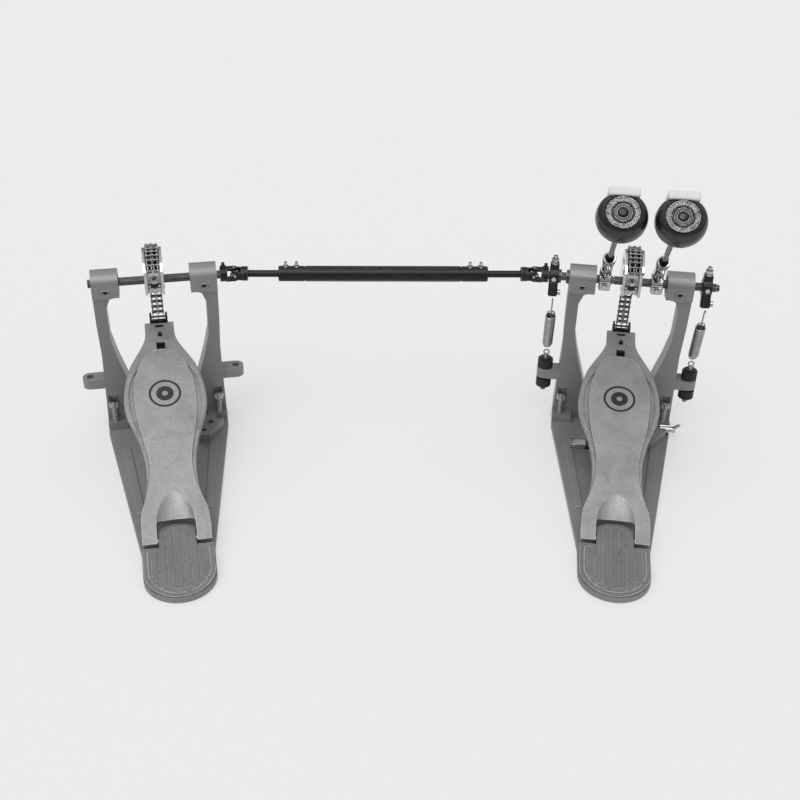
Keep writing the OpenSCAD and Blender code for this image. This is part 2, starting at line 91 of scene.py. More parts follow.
# each pedal with its place and the slope of its footboard in degrees
PEDALS = (("primary", PRIMARY, 21.7), ("slave", SLAVE, 24.4))
BOARD_HINGE = (-233, 19)                    # y and z of the board's top at the heel hinge
HOUSING_X = 53.1
HOUSING_SCREW = (-10, AXLE_Z - 3.4, 105)    # y, z and tilt in degrees of a housing's set screw
SPUR = (60.8, 6.2)
BEATER_X = {"left": -28.9, "right": 27.7}
LEAN = 45                                   # degrees from upright, towards the player
ROD_Y = 6.5                                 # a rod's centre ahead of its axle's
HEAD_D = 170.5                              # from an axle to the middle of a head
SPRING_X = {"left": -83.7, "right": 83.7}
SPRING_ARM_X = {"left": -84.8, "right": 82}
SPRING_ARM_TILT = -28
EAR_Y = 18                                  # the springs' eye rods and knobs


# ---- modelling helpers --------------------------------------------------------------------

def loop(bm, points, z=0.0):
    """A closed wire through points of x, y (and z)."""
    verts = [bm.verts.new((p[0], p[1], p[2] if len(p) > 2 else z)) for p in points]
    return [bm.edges.new(pair) for pair in zip(verts, verts[1:] + verts[:1])]


def curve_through(points, steps):
    """Points of a smooth curve through the given ones."""
    rows = [Vector(p) for p in points]
    made = []
    for i in range(len(rows) - 1):
        a, b, c, d = rows[max(i - 1, 0)], rows[i], rows[i + 1], rows[min(i + 2, len(rows) - 1)]
        for k in range(steps):
            t = k / steps
            made.append(0.5 * (2 * b + (c - a) * t + (2 * a - 5 * b + 4 * c - d) * t * t
                               + (3 * b - a - 3 * c + d) * t ** 3))
    return [tuple(p) for p in made] + [tuple(rows[-1])]


def mirrored(points):
    return [(-p[0], *p[1:]) for p in reversed(points)]


def sharp_edges(bm, degrees):
    return [e for e in bm.edges if e.is_manifold and e.calc_face_angle(0) > math.radians(degrees)]


def soften(bm, width, edges=None, segments=3, angle=30):
    """Bevels the given edges, or all edges sharper than angle."""
    if edges is None:
        edges = sharp_edges(bm, angle)
    bmesh.ops.bevel(bm, geom=edges, offset=width, offset_type="OFFSET", affect="EDGES",
                    segments=segments, profile=0.5, material=-1, clamp_overlap=True)


def joined(bm, part, place=Matrix.Identity(4)):
    """Adds the mesh of part to bm at place."""
    part.transform(place)
    mesh = bpy.data.meshes.new("part")
    part.to_mesh(mesh)
    part.free()
    bm.from_mesh(mesh)
    bpy.data.meshes.remove(mesh)


def block(size, place=Matrix.Identity(4), bevel=0.5, segments=2):
    part = bmesh.new()
    bmesh.ops.create_cube(part, size=1, matrix=Matrix.Diagonal((*size, 1)))
    if bevel:
        soften(part, bevel, list(part.edges), segments)
    part.transform(place)
    return part


def drum(r, z0, z1, place=Matrix.Identity(4), bevel=0.4, sides=48):
    """A cylinder from z0 to z1 with softened rims; one of few sides is softened all over."""
    part = bmesh.new()
    bmesh.ops.create_cone(part, cap_ends=True, segments=sides, radius1=r, radius2=r,
                          depth=z1 - z0, matrix=move(z=(z0 + z1) / 2))
    if bevel:
        rims = [e for e in part.edges
                if sides <= 8 or any(len(f.verts) > 4 for f in e.link_faces)]
        soften(part, bevel, rims, 2)
    part.transform(place)
    return part


def turned(profile, place=Matrix.Identity(4), sides=64, closed=False):
    """Spins a profile of (radius, z) about z; points on the axis make closed poles."""
    part = bmesh.new()
    verts = [part.verts.new((r, 0, z)) for r, z in profile]
    pairs = list(zip(verts, verts[1:])) + ([(verts[-1], verts[0])] if closed else [])
    edges = [part.edges.new(pair) for pair in pairs]
    bmesh.ops.spin(part, geom=verts + edges, cent=(0, 0, 0), axis=(0, 0, 1),
                   angle=math.tau, steps=sides, use_merge=True)
    bmesh.ops.remove_doubles(part, verts=part.verts, dist=1e-4)
    bmesh.ops.recalc_face_normals(part, faces=part.faces)
    part.transform(place)
    return part


def face_up(part):
    for f in part.faces:
        if f.normal.z < 0:
            f.normal_flip()


def slab(outline, z0, z1, bevel=0.6, holes=(), place=Matrix.Identity(4), segments=3,
         low_bevel=0.4):
    """Extrudes an outline with optional holes from z1 down to z0, with softened rims."""
    part = bmesh.new()
    edges = loop(part, outline, z1)
    for hole in holes:
        edges += loop(part, hole, z1)
    bmesh.ops.triangle_fill(part, use_beauty=True, use_dissolve=False, edges=edges)
    face_up(part)
    top = list(part.faces)
    out = bmesh.ops.extrude_face_region(part, geom=top)
    low = [v for v in out["geom"] if isinstance(v, bmesh.types.BMVert)]
    bmesh.ops.translate(part, verts=low, vec=(0, 0, z0 - z1))
    bmesh.ops.recalc_face_normals(part, faces=part.faces)
    for level, width in ((z1, bevel), (z0, low_bevel)):
        if not width:
            continue
        flat = {f for f in part.faces if abs(f.normal.z) > 0.99}
        rim = [e for e in part.edges if all(abs(v.co.z - level) < 1e-4 for v in e.verts)
               and len({f in flat for f in e.link_faces}) == 2]
        soften(part, width, rim, segments)
    part.transform(place)
    return part


def ring(r, sides=32, centre=(0, 0)):
    return [(centre[0] + r * math.cos(math.tau * k / sides),
             centre[1] + r * math.sin(math.tau * k / sides)) for k in range(sides)]


def knurled(r, z0, z1, teeth, depth=0.5, place=Matrix.Identity(4), hole=0.0, bevel=0.8):
    """A knob with straight grooves cut round its rim."""
    outline = []
    for k in range(teeth * 4):
        a = math.tau * k / (teeth * 4)
        out = r if k % 4 in (0, 1) else r - depth
        outline.append((out * math.cos(a), out * math.sin(a)))
    holes = (ring(hole, 24),) if hole else ()
    return slab(outline, z0, z1, bevel, holes, place, segments=2, low_bevel=bevel)


def wound(wire_r, coil_r, pitch, turns):
    """A helix of wire about z, starting at z = 0, with closed ends."""
    steps, sides = 20, 10
    part = bmesh.new()
    bmesh.ops.create_circle(part, cap_ends=False, segments=sides, radius=wire_r,
                            matrix=move(coil_r) @ turn(90, "X"))
    bmesh.ops.spin(part, geom=list(part.verts) + list(part.edges), cent=(0, 0, 0), axis=(0, 0, 1),
                   dvec=(0, 0, pitch / steps), angle=math.tau * turns, steps=int(steps * turns))
    bmesh.ops.holes_fill(part, edges=part.edges, sides=sides)
    bmesh.ops.recalc_face_normals(part, faces=part.faces)
    return part


def bent_wire(points, r):
    """A round wire along given points."""
    path = [Vector(p) for p in points]
    part = bmesh.new()
    last = None
    for i, p in enumerate(path):
        way = (path[min(i + 1, len(path) - 1)] - path[max(i - 1, 0)]).normalized()
        place = Matrix.Translation(p) @ way.to_track_quat("Z", "X").to_matrix().to_4x4()
        made = bmesh.ops.create_circle(part, cap_ends=i in (0, len(path) - 1), segments=12,
                                       radius=r, matrix=place)
        edges = list({e for v in made["verts"] for e in v.link_edges
                      if all(w in made["verts"] for w in e.verts)})
        if last:
            bmesh.ops.bridge_loops(part, edges=last + edges)
        last = edges
    bmesh.ops.recalc_face_normals(part, faces=part.faces)
    return part


def set_piece(name, bm, place, finish, body, nodes=()):
    """Turns a bmesh into a shown piece that rides on a body and stands for CAD nodes."""
    bm.transform(place)
    mesh = bpy.data.meshes.new(name)
    bm.to_mesh(mesh)
    bm.free()
    mesh.shade_smooth()
    mesh.set_sharp_from_angle(angle=math.radians(SMOOTH_ANGLE))
    mesh.materials.append(finish)
    obj = bpy.data.objects.new(name, mesh)
    bpy.context.scene.collection.objects.link(obj)
    obj.modifiers.new("face_weight", "WEIGHTED_NORMAL").keep_sharp = True
    if body:
        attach(obj, body)
    if nodes:
        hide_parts(*nodes)
    return obj


def softened(cad_name, width, finish, body, extra=(), segments=2):
    """A cast or machined look for a CAD node: its own shape with softened edges."""
    bm = bmesh.new()
    bm.from_mesh(frame["nodes"][cad_name].data)
    bmesh.ops.scale(bm, verts=bm.verts, vec=(1 / MM,) * 3)
    bmesh.ops.remove_doubles(bm, verts=bm.verts, dist=2e-3)
    bmesh.ops.dissolve_degenerate(bm, edges=bm.edges, dist=1e-3)
    bmesh.ops.dissolve_limit(bm, angle_limit=math.radians(0.6), verts=bm.verts, edges=bm.edges)
    soften(bm, width, segments=segments, angle=25)
    bmesh.ops.triangulate(bm, faces=[f for f in bm.faces if len(f.verts) > 4])
    for part, place in extra:
        joined(bm, part, Matrix.Scale(1 / MM, 4) @ place)
    set_piece(cad_name + "_cast", bm, Matrix.Scale(MM, 4), finish, body, (cad_name,))


# ---- finishes -----------------------------------------------------------------------------

def node(tree, kind, **settings):
    """A shader node with properties or inputs set; in an input's name _ stands for a space."""
    made = tree.nodes.new("ShaderNode" + kind)
    for key, value in settings.items():
        if hasattr(made, key):
            setattr(made, key, value)
        else:
            made.inputs[key.replace("_", " ")].default_value = value
    return made


def new_group(name, inputs, outputs):
    """A shader node group with float or vector inputs and outputs."""
    group = bpy.data.node_groups.new(name, "ShaderNodeTree")
    for side, sockets in (("INPUT", inputs), ("OUTPUT", outputs)):
        for label, kind, value in sockets:
            socket = group.interface.new_socket(label, in_out=side,
                                                socket_type="NodeSocket" + kind)
            if side == "INPUT" and value is not None:
                socket.default_value = value
    return group, group.nodes.new("NodeGroupInput"), group.nodes.new("NodeGroupOutput")


def make_casting():
    """Cloudy tone, fine pits and their height, from object coordinates."""
    group, given, result = new_group(
        "casting",
        [("Vector", "Vector", None), ("Cloud Scale", "Float", 60), ("Grain Scale", "Float", 1500),
         ("Grain Share", "Float", 0.4), ("Stretch", "Float", 1.0)],
        [("Tone", "Float", None), ("Height", "Float", None)])
    links = group.links
    stretch = node(group, "CombineXYZ", X=1.0, Z=1.0)
    links.new(given.outputs["Stretch"], stretch.inputs["Y"])
    along = node(group, "VectorMath", operation="MULTIPLY")
    links.new(given.outputs["Vector"], along.inputs[0])
    links.new(stretch.outputs[0], along.inputs[1])
    cloud = node(group, "TexNoise", Detail=5.0, Roughness=0.62, Distortion=0.6)
    links.new(along.outputs[0], cloud.inputs["Vector"])
    links.new(given.outputs["Cloud Scale"], cloud.inputs["Scale"])
    grain = node(group, "TexNoise", Detail=3.0, Roughness=0.7)
    links.new(given.outputs["Vector"], grain.inputs["Vector"])
    links.new(given.outputs["Grain Scale"], grain.inputs["Scale"])
    tone = node(group, "Mix", data_type="FLOAT")
    links.new(given.outputs["Grain Share"], tone.inputs["Factor"])
    links.new(cloud.outputs["Fac"], tone.inputs[2])
    links.new(grain.outputs["Fac"], tone.inputs[3])
    spread = node(group, "MapRange", From_Min=0.34, From_Max=0.66)
    links.new(tone.outputs[0], spread.inputs["Value"])
    links.new(spread.outputs["Result"], result.inputs["Tone"])
    links.new(grain.outputs["Fac"], result.inputs["Height"])
    return group


def make_edge_wear():
    """A broken-up mask along edges, from how far a rounded normal leans away."""
    group, given, result = new_group(
        "edge_wear", [("Vector", "Vector", None), ("Radius", "Float", 0.0008)],
        [("Mask", "Float", None)])
    links = group.links
    rounded = node(group, "Bevel", samples=6)
    links.new(given.outputs["Radius"], rounded.inputs["Radius"])
    flat = node(group, "NewGeometry")
    lean = node(group, "VectorMath", operation="DOT_PRODUCT")
    links.new(rounded.outputs["Normal"], lean.inputs[0])
    links.new(flat.outputs["Normal"], lean.inputs[1])
    edge = node(group, "MapRange", From_Min=0.99, From_Max=0.95)
    links.new(lean.outputs["Value"], edge.inputs["Value"])
    patchy = node(group, "TexNoise", Scale=220.0, Detail=4.0)
    links.new(given.outputs["Vector"], patchy.inputs["Vector"])
    cut = node(group, "MapRange", From_Min=0.3, From_Max=0.5)
    links.new(patchy.outputs["Fac"], cut.inputs["Value"])
    both = node(group, "Math", operation="MULTIPLY")
    links.new(edge.outputs["Result"], both.inputs[0])
    links.new(cut.outputs["Result"], both.inputs[1])
    links.new(both.outputs[0], result.inputs["Mask"])
    return group


CASTING = make_casting()
EDGE_WEAR = make_edge_wear()


def darkened(tree, shown, factor):
    """The colour shown, multiplied by a factor from another node."""
    made = node(tree, "Mix", data_type="RGBA", blend_type="MULTIPLY")
    made.inputs["Factor"].default_value = 1.0
    tree.links.new(shown, made.inputs[6])
    tree.links.new(factor, made.inputs[7])
    return made.outputs[2]


def finish(name, dark, light, metallic, rough, cloud=60, grain=1500, share=0.4, stretch=1.0,
           bump=0.1, bump_size=0.1, wear=0.0, worn=(0.6, 0.6, 0.6), wear_size=0.8, painted_shade=0.0,
           coat=0.0, sheen=0.0, pits=0.0):
    """A procedural finish of two tones with a bump; wear, painted shade and pits are there when not
    0.

    Cloud, grain and pits are scales per metre, and the sizes of bump and wear are in millimetres.
    """
    made = bpy.data.materials.new(name)
    made.use_nodes = True
    tree = made.node_tree
    links = tree.links
    shader = tree.nodes["Principled BSDF"]
    shader.inputs["Metallic"].default_value = metallic
    shader.inputs["Coat Weight"].default_value = coat
    shader.inputs["Coat Roughness"].default_value = 0.15
    shader.inputs["Sheen Weight"].default_value = sheen
    shader.inputs["Sheen Roughness"].default_value = 0.5
    place = node(tree, "TexCoord")
    surface = node(tree, "Group", node_tree=CASTING)
    for label, value in (("Cloud Scale", cloud), ("Grain Scale", grain), ("Grain Share", share),
                         ("Stretch", stretch)):
        surface.inputs[label].default_value = value
    links.new(place.outputs["Object"], surface.inputs["Vector"])
    colour = node(tree, "Mix", data_type="RGBA")
    colour.inputs[6].default_value = (*dark, 1)
    colour.inputs[7].default_value = (*light, 1)
    links.new(surface.outputs["Tone"], colour.inputs["Factor"])
    shown = colour.outputs[2]
    if pits:
        spots = node(tree, "TexVoronoi", Scale=pits)
        links.new(place.outputs["Object"], spots.inputs["Vector"])
        spot = node(tree, "MapRange", From_Min=0.08, From_Max=0.3, To_Min=0.45)
        links.new(spots.outputs["Distance"], spot.inputs["Value"])
        shown = darkened(tree, shown, spot.outputs["Result"])
    if wear:
        edges = node(tree, "Group", node_tree=EDGE_WEAR)
        links.new(place.outputs["Object"], edges.inputs["Vector"])
        edges.inputs["Radius"].default_value = wear_size * MM
        amount = node(tree, "Math", operation="MULTIPLY")
        amount.inputs[1].default_value = wear
        links.new(edges.outputs["Mask"], amount.inputs[0])
        rubbed = node(tree, "Mix", data_type="RGBA")
        rubbed.inputs[7].default_value = (*worn, 1)
        links.new(amount.outputs[0], rubbed.inputs["Factor"])
        links.new(shown, rubbed.inputs[6])
        shown = rubbed.outputs[2]
    # painted shade: the colour is darkened in nooks and creases where ambient occlusion finds them
    if painted_shade:
        nook = node(tree, "AmbientOcclusion", samples=6, Distance=0.006)
        shade_factor = node(tree, "MapRange", From_Min=0.35, From_Max=0.85, To_Min=1 - painted_shade)
        links.new(nook.outputs["AO"], shade_factor.inputs["Value"])
        shown = darkened(tree, shown, shade_factor.outputs["Result"])
    links.new(shown, shader.inputs["Base Color"])
    gloss = node(tree, "MapRange", To_Min=rough[0], To_Max=rough[1])
    links.new(surface.outputs["Tone"], gloss.inputs["Value"])
    links.new(gloss.outputs["Result"], shader.inputs["Roughness"])
    relief = node(tree, "Bump", Strength=bump, Distance=bump_size * MM)
    links.new(surface.outputs["Height"], relief.inputs["Height"])
    links.new(relief.outputs["Normal"], shader.inputs["Normal"])
    return made


def grey(value, tint=1.0):
    return (value, value, value * tint)


# Painted shade from ambient occlusion darkens the board, band, heel, chrome and chain colours in
# nooks.
CAST = finish("grey_casting", grey(0.21), grey(0.235, 1.01), 0.35, (0.34, 0.42), cloud=16,
              grain=900, share=0.25, bump=0.08, bump_size=0.08, wear=0.35, worn=grey(0.42))
BASE = finish("grey_base", grey(0.2), grey(0.245, 1.01), 0.3, (0.4, 0.5), cloud=16,
              grain=900, share=0.3, bump=0.12, bump_size=0.1, wear=0.35, worn=grey(0.38))
BOARD = finish("sand_cast_silver", grey(0.23), grey(0.35), 0.45, (0.38, 0.5), cloud=38,
               grain=1150, share=0.45, bump=0.3, bump_size=0.14, wear=0.8, worn=grey(0.75),
               painted_shade=0.6, pits=420)
# The band's finish is the board's casting painted darker, as shade on faces that slope away from
# the light.
SHADED_BAND = finish("sand_cast_band_shaded", grey(0.21), grey(0.32), 0.45, (0.38, 0.5), cloud=60,
              grain=1150, share=0.45, bump=0.3, bump_size=0.14, wear=0.9, worn=grey(0.65),
              painted_shade=0.7, pits=420)
HEEL = finish("ribbed_heel_silver", grey(0.15), grey(0.21), 0.45, (0.34, 0.44), cloud=40,
              grain=1200, share=0.3, stretch=0.3, bump=0.2, bump_size=0.1, wear=1.0,
              worn=grey(0.85), wear_size=0.6, painted_shade=0.45)
CHROME = finish("polished_chrome", grey(0.4), grey(0.55, 1.01), 1.0, (0.06, 0.14), cloud=90,
                grain=700, share=0.3, bump=0.03, painted_shade=0.9)
BADGE = finish("badge_chrome", grey(0.02), grey(0.06, 1.01), 0.9, (0.1, 0.2), cloud=200,
               grain=900, share=0.3, bump=0.03, wear=1.0, worn=grey(0.85), wear_size=0.3)
CHAIN = finish("oiled_nickel", grey(0.07), grey(0.26), 1.0, (0.2, 0.36), cloud=160,
               grain=900, share=0.4, bump=0.06, wear=0.6, worn=grey(0.7), wear_size=0.3, painted_shade=0.85)
STEEL = finish("plain_steel", grey(0.38), grey(0.56), 1.0, (0.2, 0.34), cloud=120, grain=900,
               share=0.4, bump=0.05)
BLACK_STEEL = finish("black_oxide", grey(0.01), grey(0.022), 0.6, (0.28, 0.42), cloud=80,
                     grain=1000, share=0.4, bump=0.06, wear=0.6, worn=grey(0.22))
AXLE = finish("dark_axle_plate", grey(0.045), grey(0.1), 0.9, (0.2, 0.34), cloud=90,
              grain=900, share=0.35, stretch=3.0, bump=0.05, wear=0.7, worn=grey(0.4))
PLASTIC = finish("satin_black_plastic", grey(0.008), grey(0.014), 0.0, (0.2, 0.28), cloud=60,
                 grain=1600, share=0.5, bump=0.04, coat=0.25)
RUBBER = finish("knob_black", grey(0.01), grey(0.02), 0.0, (0.42, 0.56), cloud=90, grain=1400,
                share=0.5, bump=0.12)
FELT = finish("pressed_felt", grey(0.6), grey(0.74, 0.99), 0.0, (0.9, 0.98), cloud=200,
              grain=2200, share=0.6, bump=0.6, bump_size=0.25, sheen=0.4)
INK = finish("emblem_black", grey(0.006), grey(0.014), 0.0, (0.4, 0.55), cloud=150, grain=1300,
             share=0.5, bump=0.15)


# ---- footboards ---------------------------------------------------------------------------

# right halves of outlines seen from above: across, then along from the heel hinge
BOARD_EDGE = [
    (35, 0), (35.4, 16), (34.7, 33), (32.4, 45), (28.9, 57), (26.8, 71), (26.4, 86), (27.2, 100),
    (29.4, 113), (32.4, 126), (36.9, 140), (41.6, 153), (44.2, 165), (44.8, 178), (43.4, 193),
    (40, 209), (35.8, 222), (30, 233), (23.6, 244.5), (18.6, 255), (16.6, 264), (16.2, 281)]
PANEL_EDGE = [
    (34, 37), (30.7, 46), (26.5, 58.5), (23.6, 72), (22, 91), (23.2, 105), (25.6, 118), (28.2, 131),
    (31.2, 146.5), (32.9, 163.5), (33.3, 180.5), (31.9, 198), (27.7, 215), (21.5, 229),
    (12, 239), (0, 242)]
RIM_EDGE = [(31.3, 133), (35, 147), (37.9, 161), (38.9, 178), (37.6, 194), (33, 208),
            (27.9, 216.5)]
NOTCH_HALF = 20.2
NOTCH = [(NOTCH_HALF, 0), (NOTCH_HALF, 21), (19, 24.5), (16, 26.6), (8, 28.2), (0, 28.6)]
ARCH = [(NOTCH_HALF, 21), (19.4, 28.5), (17.7, 37), (13.6, 47), (7, 56), (0, 59.4)]
BOARD_T = 8
BAND_DEPTH = 1.9
SCOOP_DEPTH = 5.2
EMBLEM_Y = 182


def add_scoop(part, arch, notch):
    """Rows of faces from the arch down to the notch, lowest in the middle of the notch."""
    rows = 9
    step = (len(arch) - 1) / (len(notch) - 1)
    last = None
    for i in range(rows + 1):
        t = i / rows
        row = []
        for k, a in enumerate(arch):
            at = k / step
            lo = min(int(at), len(notch) - 2)
            n = Vector(notch[lo]).lerp(Vector(notch[lo + 1]), at - lo)
            p = Vector(a).lerp(n, t)
            across = 1 - min(abs(p.x) / NOTCH_HALF, 1) ** 3
            depth = SCOOP_DEPTH * across * (1 - (1 - t) ** 1.7)
            row.append(part.verts.new((p.x, p.y, -depth)))
        line = [part.edges.new(pair) for pair in zip(row, row[1:])]
        if last:
            bmesh.ops.bridge_loops(part, edges=last + line)
        last = line
    bmesh.ops.remove_doubles(part, verts=part.verts, dist=0.02)
    bmesh.ops.dissolve_degenerate(part, edges=part.edges, dist=0.01)


def board_panel():
    """The legs and the raised panel: one sheet with a scoop, given thickness and soft rims."""
    outer = [(35, 0), (35.4, 16), (34.8, 30)] + curve_through(PANEL_EDGE, 4)
    right = outer + mirrored(outer)[1:]
    notch, arch = curve_through(NOTCH[1:], 3), curve_through(ARCH, 3)
    notch += mirrored(notch)[1:]
    arch += mirrored(arch)[1:]
    inner = [NOTCH[0]] + arch + [(-NOTCH[0][0], NOTCH[0][1])]
    part = bmesh.new()
    edges = loop(part, right + list(reversed(inner)), 0)
    bmesh.ops.triangle_fill(part, use_beauty=True, use_dissolve=False, edges=edges)
    add_scoop(part, arch, notch)
    face_up(part)

    rim = [e for e in part.edges if e.is_boundary]
    wall = bmesh.ops.extrude_edge_only(part, edges=rim)["geom"]
    for v in wall:
        if isinstance(v, bmesh.types.BMVert):
            v.co.z = -BOARD_T
    low = [e for e in wall if isinstance(e, bmesh.types.BMEdge) and e.is_boundary]
    bmesh.ops.triangle_fill(part, use_beauty=True, use_dissolve=False, edges=low)
    bmesh.ops.recalc_face_normals(part, faces=part.faces)

    lip = [e for e in sharp_edges(part, 50)
           if all(-SCOOP_DEPTH - 0.5 < v.co.z < -0.6 for v in e.verts)
           and abs(e.verts[0].co.z - e.verts[1].co.z) < 1]
    soften(part, 0.45, lip, 2)
    rim = [e for e in sharp_edges(part, 50) if all(v.co.z > -0.5 for v in e.verts)]
    soften(part, 1.1, rim, 3)
    return part


def board_band():
    """The lower band round the panel, with the window, the hole and the slot at the toe."""
    edge = [p for p in curve_through(BOARD_EDGE, 4) if p[1] >= 30]
    under = [(0, 66), (14, 58), (22, 45), (24, 30)]
    outline = edge + mirrored(edge) + mirrored(under) + under[1:]
    window = [(-4.6, 244), (4.6, 244), (4.6, 253.2), (-4.6, 253.2)]
    slot = [(-4.3, 274.7), (4.3, 274.7), (4.3, 277.3), (-4.3, 277.3)]
    return slab(outline, -BOARD_T + 0.2, -BAND_DEPTH, 1.1,
                (window, ring(2, 20, (0, 263.5)), slot), low_bevel=0.6)


def board_rim(side):
    """A raised rim beside the panel where the board is widest."""
    inside = curve_through([(x * side, s) for x, s in RIM_EDGE], 4)
    edge = curve_through(BOARD_EDGE, 4)
    outside = [((x - 1.0) * side, s) for x, s in edge if 134 < s < 216]
    outline = inside + list(reversed(outside))
    if side > 0:
        outline.reverse()
    return slab(outline, -6, -0.2, 1.1, low_bevel=0)


def emblem():
    """A plain ring with a drum-like disc in it."""
    part = slab(ring(17.6, 96), 0, 0.14, 0.04, (ring(15.1, 96),), low_bevel=0, segments=1)
    joined(part, slab(ring(9.4, 64), 0, 0.14, 0.04, (ring(3.2, 40),), low_bevel=0, segments=1))
    part.transform(move(0, EMBLEM_Y, 0.02))
    return part


def footboard(name, place, slope):
    on_board = place @ move(0, *BOARD_HINGE) @ turn(slope, "X")
    band = board_band()
    for side in (-1, 1):
        joined(band, board_rim(side))
        joined(band, block((14.4, 15, 7), move(27.8 * side, 7.8, -9.6), 1.2, 3))
        # stiffening ribs under the board
        under = move(17 * side, 130, -BOARD_T - 1.4) @ turn(-2 * side, "Z")
        joined(band, block((2.6, 150, 5), under, 0.8))
    body = name + "_footboard"
    set_piece(name + "_footboard_panel", board_panel(), on_board, BOARD, body,
              (body,))
    # the band is shown in the darker copy of the board's finish: painted shade
    set_piece(name + "_footboard_band", band, on_board, SHADED_BAND, body)
    set_piece(name + "_emblem", emblem(), on_board, INK, body)


# ---- heel plate and base ------------------------------------------------------------------

HEEL_HALF = 35.7
HEEL_Y = -268           # centre of the round end
HEEL_END = -305         # where the plate's slope starts
HEEL_RISE = 0.1263      # height gained per length
HEEL_FRONT = -235.5
TONGUE_HALF = 19        # the tongue between the footboard's legs


def heel_outline(inset=0.0):
    r = HEEL_HALF - inset
    side = [(r * math.sin(math.radians(a)), HEEL_Y - r * math.cos(math.radians(a)))
            for a in range(0, 91, 5)]
    wide = TONGUE_HALF - inset * 0.6
    shoulder = HEEL_FRONT - 1 - inset
    nose = [(x * wide / TONGUE_HALF, HEEL_FRONT + math.sqrt((30 - inset) ** 2 - x * x))
            for x in (18, 13.5, 9, 4.5, 0)]
    right = side + [(r, shoulder), (wide, shoulder), (wide, -216)] + nose
    return right + mirrored(right)[1:-1]


def tilted(part, above):
    """Shears everything over a level so that it follows the slope of the heel plate."""
    for v in part.verts:
        if v.co.z > above:
            v.co.z += HEEL_RISE * (v.co.y - HEEL_END)
    return part


def heel_plate(name, place):
    """A sloping plate with a worn rim and wide flat ribs with narrow grooves between them."""
    plate = tilted(slab(heel_outline(), 6.02, 7.8, 0.9, segments=4), 6.8)
    joined(plate, tilted(slab(heel_outline(4.6), 6.4, 8.4, 0.9, segments=3, low_bevel=0), 0))
    for x in (-24, -16, -8, 0, 8, 16, 24):
        start = HEEL_Y - math.sqrt(29.4 ** 2 - x * x) + 1.2
        end = HEEL_FRONT + math.sqrt(23.6 ** 2 - x * x) if abs(x) < 20 else -243
        rib = block((6.5, end - start, 2.2), move(x, (start + end) / 2, 8.5), 0.8, 3)
        joined(plate, tilted(rib, 0))
    set_piece(name + "_heel_plate_cast", plate, place, HEEL, name + "_frame",
              (name + "_heel_plate",))


def base_ridges(place):
    """One wide soft ridge along each wing of the base."""
    ridges = []
    for side in (-1, 1):
        way = move(43 * side, -102, 5.6) @ turn(-6.3 * side, "Z")
        ridges.append((block((10.6, 128, 4.8), way, 2.3, 5), place))
    return ridges


# ---- screws, spurs, knobs -----------------------------------------------------------------

def socket_screw(r, height, place):
    """A set screw with a hexagonal socket."""
    part = slab(ring(r, 36), 0, height, 0.3, (ring(r * 0.55, 6),), segments=2)
    joined(part, drum(r * 0.7, 0, height * 0.35, bevel=0, sides=24))
    part.transform(place)
    return part


def square_head(size, place):
    """A square-headed clamp screw with its washer face."""
    part = drum(size * 0.95, 0, 2.0, bevel=0.4)
    joined(part, block((size, size, 4.2), move(z=3.9), 0.5, 2))
    joined(part, drum(size * 0.32, 5.8, 6.8, bevel=0.3, sides=20))
    part.transform(place)
    return part


def on_housings():
    y, z, tilt = HOUSING_SCREW
    return [move(HOUSING_X * side, y, z) @ turn(tilt, "X") for side in (-1, 1)]


def frame_screws(name, place):
    screws = bmesh.new()
    for at in on_housings():
        joined(screws, socket_screw(2.5, 2.4, at @ move(z=1.2)))
    set_piece(name + "_screws_set", screws, place, BLACK_STEEL, name + "_frame",
              (name + "_screws",))


def screw_lips(place):
    """Raised square lips round the set screws in the housings."""
    outline = [(-5.4, -4.2), (5.4, -4.2), (5.4, 3.6), (-5.4, 3.6)]
    inside = [(-4.1, -2.9), (4.1, -2.9), (4.1, 2.3), (-4.1, 2.3)]
    return [(slab(outline, 2.5, 6.4, 0.6, (inside,), at, low_bevel=0), place)
            for at in on_housings()]


def thread(r, depth, z0, pitch, count):
    """Points of a turned profile with ridges: every second one lies deeper by depth."""
    return [(r - depth * (k % 2), z0 + k * pitch) for k in range(count)]


def spurs(name, place):
    pair = bmesh.new()
    for side in (-1, 1):
        at = move(SPUR[0] * side, SPUR[1], 0)
        profile = [(0, 0), (1.6, 1.6), *thread(3, 0.28, 3, 0.6, 56), (3, 37), (0, 37)]
        joined(pair, turned(profile, at, 32))
        joined(pair, knurled(5.5, 36, 43, 18, 0.55, at, bevel=0.7))
        joined(pair, drum(3.6, 42.6, 44, at, 0.5))
    set_piece(name + "_spurs_knurled", pair, place, STEEL, name + "_frame",
              (name + "_spurs",))


def spring_knobs(side):
    knobs = bmesh.new()
    for z in (46.5, 72.2):
        at = move(SPRING_X[side], EAR_Y, z)
        joined(knobs, knurled(8.8, 0, 10.6, 22, 0.6, at, hole=3.05, bevel=0.9))
        joined(knobs, slab(ring(6.2, 40), 10.4, 13, 0.6, (ring(3.05, 24),), at))
    set_piece(side + "_spring_knobs_ribbed", knobs, PRIMARY, RUBBER,
              side + "_spring_knobs", (side + "_spring_knobs",))


# ---- beaters ------------------------------------------------------------------------------

def on_rod(x):
    return move(x, 0, AXLE_Z) @ turn(LEAN, "X") @ move(y=ROD_Y)


